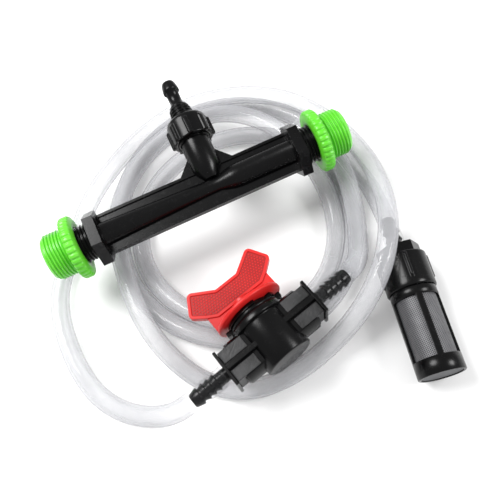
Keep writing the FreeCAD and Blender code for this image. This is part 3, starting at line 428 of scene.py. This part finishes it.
class Shell:
    """Closed surfaces in one local frame, which become one mesh."""

    def __init__(self, seat):
        self.seat = seat
        self.points = []
        self.faces = []
        self.slots = []
        self.count = 0
        self.paint = 0

    def add(self, points, faces, seat=None):
        points = (seat or self.seat).place(np.asarray(points, float).reshape(-1, 3))
        self.points.append(points)
        self.faces += [[index + self.count for index in face] for face in faces]
        self.slots += [self.paint] * len(faces)
        self.count += len(points)

    def grid(self, points, seat=None, close_rows=True):
        """Quads over a rows x columns grid; columns always close into a ring."""
        rows, columns = points.shape[:2]
        index = np.arange(rows * columns).reshape(rows, columns)
        below = index if close_rows else index[:-1]
        above = np.roll(index, -1, axis=0) if close_rows else index[1:]
        quads = np.stack([below, np.roll(below, -1, 1), np.roll(above, -1, 1), above], -1)
        self.add(points, quads.reshape(-1, 4).tolist(), seat)

    def turned(self, profile, around=96, change=None, seat=None):
        """Radius and height pairs carried round the axis; change(r, h, angle) reshapes radius.

        The profile is a closed outline, walked so that outward faces come out: up the outside.
        An outline that touches the axis is capped there with a disc instead."""
        profile = np.array(profile, float)
        angle = np.arange(around) * TURN / around
        radius = np.repeat(profile[:, :1], around, 1)
        height = np.repeat(profile[:, 1:], around, 1)
        if change is not None:
            radius = change(radius, height, angle[None, :])
        points = np.stack([radius * np.cos(angle), radius * np.sin(angle), height], -1)
        on_axis = profile[:, 0] < 1e-9
        if not on_axis.any():
            self.grid(points, seat)
            return
        inner = np.flatnonzero(~on_axis)
        self.grid(points[inner], seat, close_rows=False)
        self.close_ends(len(inner), around)

    def close_ends(self, rings, around):
        """Cap the first and the last ring of the open grid that was added last."""
        first, last = self.count - rings * around, self.count - around
        self.faces.append(list(range(first, first + around))[::-1])
        self.faces.append(list(range(last, last + around)))
        self.slots += [self.paint] * 2

    def slab(self, outline, low, high, seat=None):
        """An outline in local x and y, walked anticlockwise, from height low to height high."""
        count = len(outline)
        flat = np.array(outline, float)
        points = np.concatenate([np.c_[flat, np.full(count, low)], np.c_[flat, np.full(count, high)]])
        sides = [[i, (i + 1) % count, (i + 1) % count + count, i + count] for i in range(count)]
        caps = [list(range(count))[::-1], list(range(count, 2 * count))]
        self.add(points, sides + caps, seat)

    def box(self, x, y, z, seat=None):
        """A box from three (low, high) pairs."""
        self.slab([(x[0], y[0]), (x[1], y[0]), (x[1], y[1]), (x[0], y[1])], *z, seat=seat)

    def finish(self, name, body, node, slot, *materials, bevel=0.3, sharp=38.0):
        """Make the mesh, give it its finish, let it ride on its body and stand for its node."""
        mesh = bpy.data.meshes.new(name)
        mesh.from_pydata(np.concatenate(self.points).tolist(), [], self.faces)
        mesh.polygons.foreach_set("material_index", self.slots)
        mesh.shade_smooth()
        for material in materials:
            mesh.materials.append(material)
        piece = bpy.data.objects.new(name, mesh)
        bpy.context.scene.collection.objects.link(piece)
        if bevel:
            edge = piece.modifiers.new("rounded_edges", "BEVEL")
            edge.width = bevel * MM
            edge.segments = 2
            edge.limit_method = "ANGLE"
            edge.angle_limit = math.radians(sharp)
            edge.harden_normals = True
            edge.use_clamp_overlap = True
        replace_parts(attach(piece, body), node)
        print(name, "faces", len(self.faces))
        return piece


def screw(root, crest, pitch, low, high, flank=0.22):
    """Radius of a screw thread: crest where height/pitch - angle/turn is near a whole number.

    The ridge is a trapezium with smooth flanks, and fades in and out over one pitch at the ends."""
    def radius(height, angle):
        phase = (height / pitch - angle / TURN) % 1.0
        away = np.abs(phase - 0.5)
        ridge = 1.0 - eased((away - 0.12) / flank)
        ends = eased((height - low) / pitch) * eased((high - height) / pitch)
        return root + (crest - root) * ridge * ends
    return radius


def rows_between(low, high, step):
    return np.linspace(low, high, max(2, int(round(abs(high - low) / step)) + 1))


# %% [markdown]
# ## Green adapters
# An adapter is one moulding: a knurled flange that a hand can grip, and a pipe thread. Both are
# one turned surface. The knurl takes material away in 34 round grooves, only on the flange's rim,
# and the thread is a true helix. Angle steps are eight to a groove, so the grooves stay round.

# %% Adapters
adapter_pitch = 1.814


def adapter(side, seat):
    flange_radius, flange_thick, crest, root, length = 17.9, 6.4, 13.22, 12.06, 19.4
    socket, socket_depth, water_way, grooves = 10.68, 11.6, 8.4, 34
    thread = screw(root, crest, adapter_pitch, flange_thick + 0.6, length - 0.8)

    def shape(radius, height, angle):
        on_rim = eased((radius - 15.6) / 1.2)
        groove = np.clip(np.cos(angle * grooves) * 1.6 - 0.25, 0, 1)
        knurled = radius - on_rim * groove * 0.75
        threaded = (np.abs(radius - root) < 1e-6) & (height > flange_thick + 0.3)
        return np.where(threaded, thread(height, angle), knurled)

    heights = rows_between(flange_thick + 0.4, length - 1.0, adapter_pitch / 12)
    profile = [(socket + 0.5, 0), (14.6, 0), (15.4, 0.5), (flange_radius - 0.9, 0.5)]
    profile += [(flange_radius, 1.5), (flange_radius, flange_thick - 1.2)]
    profile += [(flange_radius - 0.9, flange_thick - 0.2), (15.6, flange_thick - 0.2)]
    profile += [(root + 0.4, flange_thick), (root + 0.0, flange_thick + 0.3)]
    profile += [(root, height) for height in heights]
    profile += [(root - 0.9, length), (water_way + 0.4, length), (water_way, length - 0.4)]
    profile += [(water_way, socket_depth), (socket, socket_depth), (socket, 0.5)]
    shell = Shell(seat)
    shell.turned(profile, grooves * 8, shape)
    shell.finish(side + "_adapter_moulding", side + "_screw", side + "_adapter", "green_plastic",
                 green_plastic, bevel=0)


left_hex, right_hex, hex_half = -70.0, 50.0, 3.0
bare_thread = 6.6
right_face = throat + np.array([right_hex + hex_half + bare_thread, 0, 0])
left_face = throat + np.array([left_hex - hex_half - bare_thread, 0, 0])
adapter("right", Seat(right_face, (1, 0, 0), (0, 1, 0)))
adapter("left", Seat(left_face, (-1, 0, 0), (0, 1, 0)))

# %% [markdown]
# ## The injector tube
# The tube narrows to its throat and opens again, so its outside is one long turned profile with a
# screw thread at each end. A flat web with thick edges runs along both sides and keeps the long
# tube stiff. Each end has a hexagon for a spanner, and the branch stands on two gussets.

# %% Injector


def hexagon(flats, turned=0.0):
    """Six corners at flats / sqrt(3) from the middle."""
    angles = [math.radians(60 * corner) + turned for corner in range(6)]
    reach = flats / math.sqrt(3)
    return [(reach * math.cos(angle), reach * math.sin(angle)) for angle in angles]


def injector_tube():
    shell = Shell(injector)
    crest, root, pitch = 10.48, 9.32, adapter_pitch
    start, stop = -89.0, 69.0
    left_thread = screw(root, crest, pitch, start + 0.5, left_hex - 2.4)
    right_thread = screw(root, crest, pitch, right_hex + 2.4, stop - 0.5)

    def shape(radius, height, angle):
        on_thread = np.abs(radius - root) < 1e-6
        radius = np.where(on_thread & (height < left_hex), left_thread(height, angle), radius)
        return np.where(on_thread & (height > right_hex), right_thread(height, angle), radius)

    profile = [(7.4, start), (root - 0.8, start)]
    profile += [(root, height) for height in rows_between(start + 0.6, left_hex - 2.5, pitch / 10)]
    profile += [(7.25, left_hex + 2), (4.6, -3.3), (4.6, 2.2), (6.65, 9.6), (7.1, 13), (7.25, 16)]
    profile += [(7.25, right_hex - 2)]
    profile += [(root, height) for height in rows_between(right_hex + 2.5, stop - 0.6, pitch / 10)]
    profile += [(root - 0.8, stop), (7.4, stop), (7.4, right_hex + hex_half)]
    profile += [(5.75, right_hex - hex_half), (5.75, 16), (2.2, 2.2), (2.2, -4.4)]
    profile += [(5.75, left_hex + hex_half), (7.4, left_hex - hex_half)]
    shell.turned(profile, 96, shape)

    flange = hexagon(28.0, math.radians(90))
    for middle in (left_hex, right_hex):
        shell.slab(flange, middle - hex_half, middle + hex_half)
        low, high = middle - hex_half - 0.5, middle + hex_half + 0.5
        shell.turned([(0, low), (11.6, low), (11.6, high), (0, high)])

    length = (left_hex, right_hex)
    web = 1.2
    for side in (-1, 1):
        inner, outer = sorted((4.0 * side, 11.0 * side))
        shell.box((-web, web), (inner, outer), length)
        low, high = sorted((10.2 * side, 11.8 * side))
        shell.box((-2.2, 2.2), (low, high), length)
    boss = [(0, 4.5), (4.4, 4.5), (8.55, 10.8), (8.55, 29.3), (9.0, 29.5), (9.4, 29.6)]
    boss += [(9.4, 38.4), (0, 38.4)]
    shell.turned(boss, 72, seat=suction)
    gusset = [(-17, 10.8), (17, 10.8), (7.2, 21.5), (-7.2, 21.5)]
    standing = Seat(throat, suction.y, suction.x)
    flat = np.array(gusset) * (1, standing.y @ suction.z)
    outline = flat if standing.y @ suction.z > 0 else flat[::-1]
    shell.slab(outline, -web, web, seat=standing)
    shell.finish("injector_moulding", "root", "venturi_body", "black_plastic", black_plastic,
                 bevel=0.35, sharp=50.0)


injector_tube()

# %% [markdown]
# ## The suction branch
# A union nut with eight grip ribs holds a stub against the branch. The ribs are raised by the same
# trick as the knurl: the radius grows where the angle is near a rib. The stub carries a tapering
# thread and ends in a barb that the hose is pushed over.

# %% Suction branch


def union_nut():
    low, top, outer, inner = 29.5, 44.1, 11.75, 9.8
    ribs, rib_half = 8, 1.0

    def shape(radius, height, angle):
        away = np.abs((angle * ribs / TURN + 0.5) % 1.0 - 0.5) * TURN * outer / ribs
        rib = 1.0 - eased((away - rib_half) / 0.55)
        band = eased((top - 3.0 - height) / 1.6) * eased((radius - 10.6) / 0.8)
        return radius + 1.4 * rib * band

    profile = [(inner, low), (outer - 0.5, low), (outer, low + 0.5)]
    profile += [(outer, height) for height in rows_between(low + 1.0, top - 3.4, 1.0)]
    for step in range(8):
        angle = math.pi / 2 * step / 7
        profile.append((outer - 2.6 + 2.6 * math.cos(angle), top - 2.9 + 2.9 * math.sin(angle)))
    profile += [(7.5, top), (7.5, 42.5), (inner, 42.5)]
    shell = Shell(suction)
    shell.turned(profile, ribs * 28, shape)
    shell.finish("union_nut_moulding", "nut_ring", "suction_nut", "black_plastic",
                 black_plastic, bevel=0)


def suction_stub():
    low, flange_top, nut_top, shoulder = 40.1, 42.3, 44.1, 53.4
    pitch = 1.9

    def shape(radius, height, angle):
        share = np.clip((height - nut_top) / (shoulder - nut_top), 0, 1)
        crest = 7.25 - 1.3 * share
        thread = screw(crest - 0.75, crest, pitch, nut_top - pitch, shoulder - 0.2)(height, angle)
        on_thread = (np.abs(radius - 6.5) < 1e-6)
        return np.where(on_thread, thread, radius)

    profile = [(2.6, low), (9.2, low), (9.2, flange_top), (6.5, flange_top + 0.1)]
    profile += [(6.5, height) for height in rows_between(nut_top - 1.0, shoulder - 0.3, pitch / 12)]
    profile += [(5.3, shoulder), (4.2, shoulder + 0.1), (3.7, shoulder + 0.6), (3.7, 63.6)]
    profile += [(4.75, 63.7), (4.75, 65.1), (4.6, 66.2), (4.3, 68.0), (3.9, 69.4)]
    profile += [(3.5, 70.1), (2.9, 70.1), (2.6, 69.8)]
    shell = Shell(suction)
    shell.turned(profile, 96, shape)
    shell.finish("suction_stub_moulding", "suction_stub", "suction_barb", "black_plastic",
                 black_plastic, bevel=0)


union_nut()
suction_stub()

# %% [markdown]
# ## The ball valve's body
# The body is a closed barrel crossed by a shorter one. On each side stands a square socket with a
# coarse grain on its faces, a rib down the middle and a square plate at its end, and a hose barb
# comes out of the plate. The grain is a second finish on the socket's faces.

# %% Valve body


def barb_profile(start, stop, ridges):
    """A neck with sharp-backed ridges: straight up at the back, a long slope to the tip."""
    profile = [(3.7, start)]
    for ridge, land, slope in ridges:
        profile += [(3.7, ridge), (4.75, ridge + 0.08), (4.75, ridge + land)]
        profile += [(3.85, ridge + land + slope)]
    return profile + [(3.5, stop - 0.2), (3.1, stop)]


def valve_moulding():
    shell = Shell(valve)
    floor, neck, top = -14.8, 9.0, 12.8
    outside = [(0, floor), (12.2, floor), (12.9, floor + 0.25), (13.3, floor + 0.9), (13.3, neck - 0.3)]
    outside += [(13.7, neck), (15.0, neck), (15.5, neck + 0.4), (15.5, top - 0.3), (15.2, top)]
    outside += [(0, top)]
    shell.turned(outside, 128)
    cheek = np.linspace(-0.694, 0.694, 15)
    right_side = np.c_[12 * np.cos(cheek), 12 * np.sin(cheek)]
    flat_sided = np.concatenate([right_side, -right_side])
    for way in (-1, 1):
        seat = Seat(valve.origin, valve.x * way, valve.z)
        shell.slab(flat_sided, -1, 22.6, seat)
        shell.slab(flat_sided * 0.93, 22.0, 23.5, seat)
        shell.box((-10.1, 10.1), (-10.1, 10.1), (plate_face - 1.7, plate_face), seat)
        shell.box((-1.5, 1.5), (-9.9, 9.9), (8, 28), seat)
        shell.box((-7.7, 7.7), (-7.6, 7.6), (8, 28), seat)
        shell.paint = 1
        for low, high in ((2.2, 8.9), (-8.9, -2.2)):
            shell.box((low, high), (-7.95, 7.95), (13, 27.5), seat)
        shell.paint = 0
        ridges = [(35.5, 0.5, 2.0), (38.9, 0.5, 2.0), (42.3, 0.5, 2.0), (45.9, 0.9, 3.4)]
        spigot = [(0, 28.0)] + barb_profile(28.2, 51.0, ridges)
        shell.turned(spigot + [(0, 51.0)], 64, seat=seat)
    shell.finish("valve_moulding", "root", "valve_body", "black_plastic", black_plastic, grained_black,
                 bevel=0.35, sharp=50.0)


def bonnet_moulding():
    low, top, groove = 12.9, 17.2, 13.9

    def shape(radius, height, angle):
        facing_up = np.abs(((angle - math.radians(-55) + math.pi) % TURN) - math.pi)
        notch = (1 - eased((facing_up - 0.36) / 0.05)) * (height > low + 1.2) * (radius > 11.5)
        return radius - notch * 3.0

    profile = [(5.4, low), (14.7, low), (15.0, low + 0.3), (15.0, low + 1.1), (groove, low + 1.4)]
    profile += [(groove, low + 2.0), (15.0, low + 2.4), (15.0, top - 0.3), (14.7, top), (12.6, top)]
    profile += [(12.3, top - 0.5), (9.0, top - 0.5), (8.7, top), (5.4, top)]
    shell = Shell(valve)
    shell.turned(profile, 240, shape)
    for way in (-1, 1):
        x = sorted((13.2 * way, 17.5 * way))
        shell.box(x, (-2.5, 2.5), (low + 0.4, low + 3.0))
    shell.finish("bonnet_moulding", "root", "valve_bonnet", "black_plastic", black_plastic,
                 bevel=0.2, sharp=50.0)


valve_moulding()
bonnet_moulding()

# %% [markdown]
# ## The butterfly handle
# The handle is a disc, a smooth web, and a paddle with two wings. The paddle's faces are sunk
# inside a raised border and covered in small dimples that stop a wet thumb from slipping. The
# outline has few corners, each rounded by an arc, and the border's inner edge is the same outline
# moved inwards. The domes are one low shape repeated in offset rows.

# %% Handle


def inset(corners, distance):
    """Move every side of an anticlockwise outline inwards and meet the sides again."""
    corners = np.array(corners, float)
    moved = []
    for before, here, after in zip(np.roll(corners, 1, 0), corners, np.roll(corners, -1, 0)):
        come = (here - before) / np.linalg.norm(here - before)
        leave = (after - here) / np.linalg.norm(after - here)
        inward_come, inward_leave = np.array([-come[1], come[0]]), np.array([-leave[1], leave[0]])
        middle = inward_come + inward_leave
        moved.append(here + middle * distance / (1 + inward_come @ inward_leave))
    return np.array(moved)


def rounded(corners, radii, steps=5):
    """Replace every corner by an arc: a circle of the given radius that touches both sides."""
    corners = np.array(corners, float)
    outline = []
    neighbours = zip(np.roll(corners, 1, 0), corners, np.roll(corners, -1, 0), radii)
    for before, here, after, radius in neighbours:
        come = (before - here) / np.linalg.norm(before - here)
        leave = (after - here) / np.linalg.norm(after - here)
        half = math.acos(np.clip(come @ leave, -1, 1)) / 2
        reach = radius / math.tan(half)
        middle = come + leave
        centre = here + middle / np.linalg.norm(middle) * radius / math.sin(half)
        start, stop = here + come * reach - centre, here + leave * reach - centre
        turn = math.atan2(start[0] * stop[1] - start[1] * stop[0], start @ stop)
        for share in np.linspace(0, 1, steps):
            c, s = math.cos(turn * share), math.sin(turn * share)
            outline.append(centre + (c * start[0] - s * start[1], s * start[0] + c * start[1]))
    return np.array(outline)


def inside(points, outline):
    """Even-odd test of many points at once against an outline."""
    x, y = points[:, :1], points[:, 1:]
    ax, ay = outline[:, 0], outline[:, 1]
    bx, by = np.roll(ax, -1), np.roll(ay, -1)
    crosses = ((ay > y) != (by > y)) & (x < (bx - ax) * (y - ay) / (by - ay + 1e-12) + ax)
    return crosses.sum(1) % 2 == 1


def domes(shell, centres, level, way, radius, height, seat):
    """Low domes: two rings of eight points and a top point, all in one array."""
    angle = np.arange(8) * TURN / 8
    ring = np.stack([np.cos(angle), np.sin(angle)], -1)
    rings = [np.c_[ring * radius, np.zeros(8)], np.c_[ring * radius * 0.62, np.full(8, height * 0.78)]]
    one = np.concatenate([*rings, [[0, 0, height]]])
    one[:, 2] = (one[:, 2] + level) * way
    faces = [[i, (i + 1) % 8, (i + 1) % 8 + 8, i + 8] for i in range(8)]
    faces += [[i + 8, (i + 1) % 8 + 8, 16] for i in range(8)]
    faces += [list(range(8))[::-1]]
    if way < 0:
        faces = [face[::-1] for face in faces]
    for centre in centres:
        shell.add(one + (centre[0], centre[1], 0), faces, seat)


def butterfly_handle():
    shell = Shell(valve)
    disc = [(0, 17.5), (19.6, 17.5), (20.0, 17.9), (20.0, 19.1), (19.6, 19.5), (0, 19.5)]
    shell.turned(disc, 128)
    shell.turned([(0, 19), (6.0, 19), (5.5, 25.9), (0, 25.9)], 64)
    paddle = Seat(valve.origin, -valve.y, valve.x)
    web = [(-19.8, 18.4), (19.8, 18.4), (19.8, 30), (-19.8, 30)]
    flip = 1.0 if paddle.y @ valve.z > 0 else -1.0
    corners = np.array([(-14.5, 25.5), (14.5, 25.5), (20.0, 28.8), (27.3, 34.5), (20.3, 46.9),
                        (6.9, 38.5), (-6.9, 38.5), (-20.3, 46.9), (-27.3, 34.5), (-20.0, 28.8)])
    radii = np.array([1.0, 1.0, 3.0, 2.6, 2.6, 2.2, 2.2, 2.6, 2.6, 3.0])
    border = 1.7
    outer = rounded(corners, radii)
    inner_radii = np.array([1.0, 1.0, 3.0, 1.0, 1.0, 3.9, 3.9, 1.0, 1.0, 3.0])
    inner = rounded(inset(corners, border), inner_radii)
    if flip < 0:
        outer, inner, web = outer * (1, -1), inner * (1, -1), np.array(web) * (1, -1)
        outer, inner, web = outer[::-1], inner[::-1], web[::-1]
    shell.slab(web, -1.3, 1.3, seat=paddle)
    count = len(outer)
    thick, field = 2.2, 1.5
    loops = [np.c_[inner, np.full(count, -field)], np.c_[inner, np.full(count, -thick)],
             np.c_[outer, np.full(count, -thick)], np.c_[outer, np.full(count, thick)],
             np.c_[inner, np.full(count, thick)], np.c_[inner, np.full(count, field)]]
    shell.grid(np.array(loops), paddle, close_rows=False)
    # The sunk field on both faces takes the darker red: painted shade in the recess round the domes.
    shell.paint = 1
    shell.close_ends(len(loops), count)
    shell.paint = 0
    spacing = 1.65
    columns = np.arange(-17, 18)
    rows = np.arange(0, 16)
    across_grid, up_grid = np.meshgrid(columns, rows)
    centres = np.stack([(across_grid + 0.5 * (up_grid % 2)) * spacing,
                        (26.9 + up_grid * spacing * 0.87) * flip], -1).reshape(-1, 2)
    kept = centres[inside(centres, inset(inner, 0.75))]
    for way in (-1, 1):
        domes(shell, kept, field - 0.05, way, 0.6, 0.5, paddle)
    print("dimples on each face:", len(kept))
    shell.finish("handle_moulding", "valve_turn", "valve_handle", "red_plastic", red_plastic,
                 red_painted_shade, bevel=0.3, sharp=62.0)


butterfly_handle()

# %% [markdown]
# ## The strainer
# The strainer keeps dirt out of the suction line. A hexagon with a ridged barb takes the hose, a
# ribbed cap screws onto it, and the cap holds a cage of four ribs round a sleeve of woven steel.
# The cage is open, so each rib is a bent bar: a grid over part of a turn.

# %% Strainer


def strainer_hexagon():
    shell = Shell(strainer)
    top = -22.0
    ridges = [(top + 3.4 + 5.2 * step, 0.5, 4.0) for step in range(3)]
    spigot = [(0, -22.0), (3.3, -22.0), (3.8, -21.6)]
    for ridge, land, slope in ridges:
        spigot += [(4.75, ridge), (4.75, ridge + land), (3.7, ridge + land + 0.1)]
        spigot += [(3.75, ridge + slope - 1.0)]
    spigot += [(3.7, -3.2), (0, -3.2)]
    shell.turned(spigot, 64)
    shell.slab(hexagon(21.2, math.radians(90)), -3, 3)
    shell.turned([(0, -3.4), (8.6, -3.4), (9.0, -3.0), (0, -3.0)], 72)
    shell.turned([(0, 2.9), (10.4, 2.9), (10.4, 12.9), (0, 12.9)], 72)
    shell.finish("strainer_fitting_moulding", "root", "strainer_fitting", "black_plastic",
                 black_plastic, bevel=0.35, sharp=45.0)


def strainer_cap():
    low, high = 3.2, 22.9

    def shape(radius, height, angle):
        away = np.abs((angle * 4 / TURN + 0.5) % 1.0 - 0.5) * TURN * 13.6 / 4
        rib = 1.0 - eased((away - 0.55) / 0.5)
        band = eased((height - low - 1.0) / 1.0) * eased((low + 15.5 - height) / 1.2)
        return radius + 0.95 * rib * band * (radius > 12.5)

    profile = [(11.7, low), (12.6, low), (13.3, low + 0.4), (13.6, low + 1.0)]
    profile += [(13.6, height) for height in rows_between(low + 1.2, low + 17.0, 0.7)]
    profile += [(13.6, high - 0.7), (13.3, high - 0.1), (12.8, high), (11.7, high)]
    shell = Shell(strainer)
    shell.turned(profile, 240, shape)
    shell.finish("strainer_cap_moulding", "strainer_housing", "strainer_cap", "black_plastic",
                 black_plastic, bevel=0)


def strainer_cage():
    shell = Shell(strainer)
    top, window, foot, end = 22.9, 28.0, 60.7, 69.4
    outer, inner = 12.65, 11.05
    shell.turned([(inner, top), (outer - 0.3, top + 0.05), (outer, top + 0.4), (outer, window - 0.3),
                  (outer - 0.3, window), (inner, window)], 128)
    ring = [(inner, foot), (outer - 0.3, foot), (outer, foot + 0.3), (outer, end - 0.4)]
    shell.turned(ring + [(outer - 0.4, end), (inner, end)], 128)
    ribs, rib_half, across_rib = 4, 1.7, 7
    half = rib_half / outer
    for rib in range(ribs):
        angle = np.linspace(-half, half, across_rib) + rib * TURN / ribs
        loop_angle = np.concatenate([angle, angle[::-1]])
        loop_radius = np.repeat([outer, inner], across_rib)
        points = [np.c_[loop_radius * np.cos(loop_angle), loop_radius * np.sin(loop_angle),
                        np.full(len(loop_angle), height)] for height in (window - 1, foot + 1)]
        shell.grid(np.array(points), close_rows=False)
        shell.close_ends(len(points), len(loop_angle))
    shell.paint = 1
    plate_low, plate_high, plate_rim = end - 2.0, end - 0.5, inner + 0.1
    shell.turned([(0, plate_low), (plate_rim, plate_low), (plate_rim, plate_high), (0, plate_high)], 96)
    shell.finish("strainer_cage_moulding", "strainer_housing", "strainer_cage", "black_plastic",
                 black_plastic, end_grey, bevel=0.25, sharp=50.0)


def strainer_sleeve():
    """The woven sleeve: a thin tube whose UV map is its unrolled surface in millimetres."""
    low, high, outer, inner = 25.0, 67.3, 11.0, 10.6
    around, rows = 144, 40
    shell = Shell(strainer)
    profile = [(outer, height) for height in np.linspace(low, high, rows)]
    profile += [(inner, height) for height in np.linspace(high, low, rows)]
    shell.turned(profile, around)
    piece = shell.finish("woven_sleeve", "strainer_housing", "strainer_mesh", "woven_steel",
                         mesh_steel, bevel=0)
    mesh = piece.data
    corner = np.empty(len(mesh.loops), int)
    mesh.loops.foreach_get("vertex_index", corner)
    column, row = corner % around, corner // around
    faces_last = (column.reshape(-1, 4) == around - 1).any(1) & (column.reshape(-1, 4) == 0).any(1)
    column = column.reshape(-1, 4)
    column[faces_last] = np.where(column[faces_last] == 0, around, column[faces_last])
    height = np.array(profile)[row, 1]
    unrolled = np.stack([column.ravel() * TURN * outer / around, height], -1)
    mesh.uv_layers.new(name="weave").data.foreach_set("uv", unrolled.ravel())


strainer_hexagon()
strainer_cap()
strainer_cage()
strainer_sleeve()

# %% [markdown]
# ## Inner pieces
# The seals, the check valve and the valve's ball keep their plain shapes, because those are
# already right, and only take the finish of what they are made of.

# %% Finishes of the carried-over pieces
inner_finishes = {
    "left_gasket": black_rubber, "right_gasket": black_rubber, "suction_gasket": black_rubber,
    "strainer_gasket": black_rubber, "stem_ring": black_rubber, "check_ball": black_rubber,
    "check_spring": bright_steel, "valve_ball": ball_plastic, "valve_seat_left": seat_plastic,
    "valve_seat_right": seat_plastic, "valve_stem": black_plastic}
for node, material in inner_finishes.items():
    for place in frame["nodes"][node].material_slots:
        place.material = material

# %% Floor, lights, world


def soft_light(name, at, aim, size, power):
    light = bpy.data.lights.new(name, "AREA")
    light.shape = "DISK"
    light.size = size
    light.energy = power
    lamp = bpy.data.objects.new(name, light)
    lamp.location = at
    lamp.rotation_euler = (Vector(aim) - Vector(at)).to_track_quat("-Z", "Y").to_euler()
    bpy.context.scene.collection.objects.link(lamp)


def pale_floor(reach):
    mesh = bpy.data.meshes.new("floor")
    mesh.from_pydata([(-reach, -reach, 0), (reach, -reach, 0), (reach, reach, 0), (-reach, reach, 0)],
                     [], [[0, 1, 2, 3]])
    finish = Finish("white_sheet", (0.9, 0.9, 0.9), 0.7)
    mesh.materials.append(finish.material)
    floor = bpy.data.objects.new("floor", mesh)
    bpy.context.scene.collection.objects.link(floor)


pale_floor(3.0)
soft_light("key_light", (-0.35, 0.3, 0.75), (0, 0, 0), 0.45, 8.0)
soft_light("side_light", (0.6, -0.25, 0.55), (0, 0, 0), 0.3, 4.0)
world = bpy.data.worlds.new("sky")
world.use_nodes = True
world.node_tree.nodes["Background"].inputs["Color"].default_value = (1, 1, 1, 1)
world.node_tree.nodes["Background"].inputs["Strength"].default_value = 0.55
bpy.context.scene.world = world
bpy.context.scene.view_settings.view_transform = "Standard"
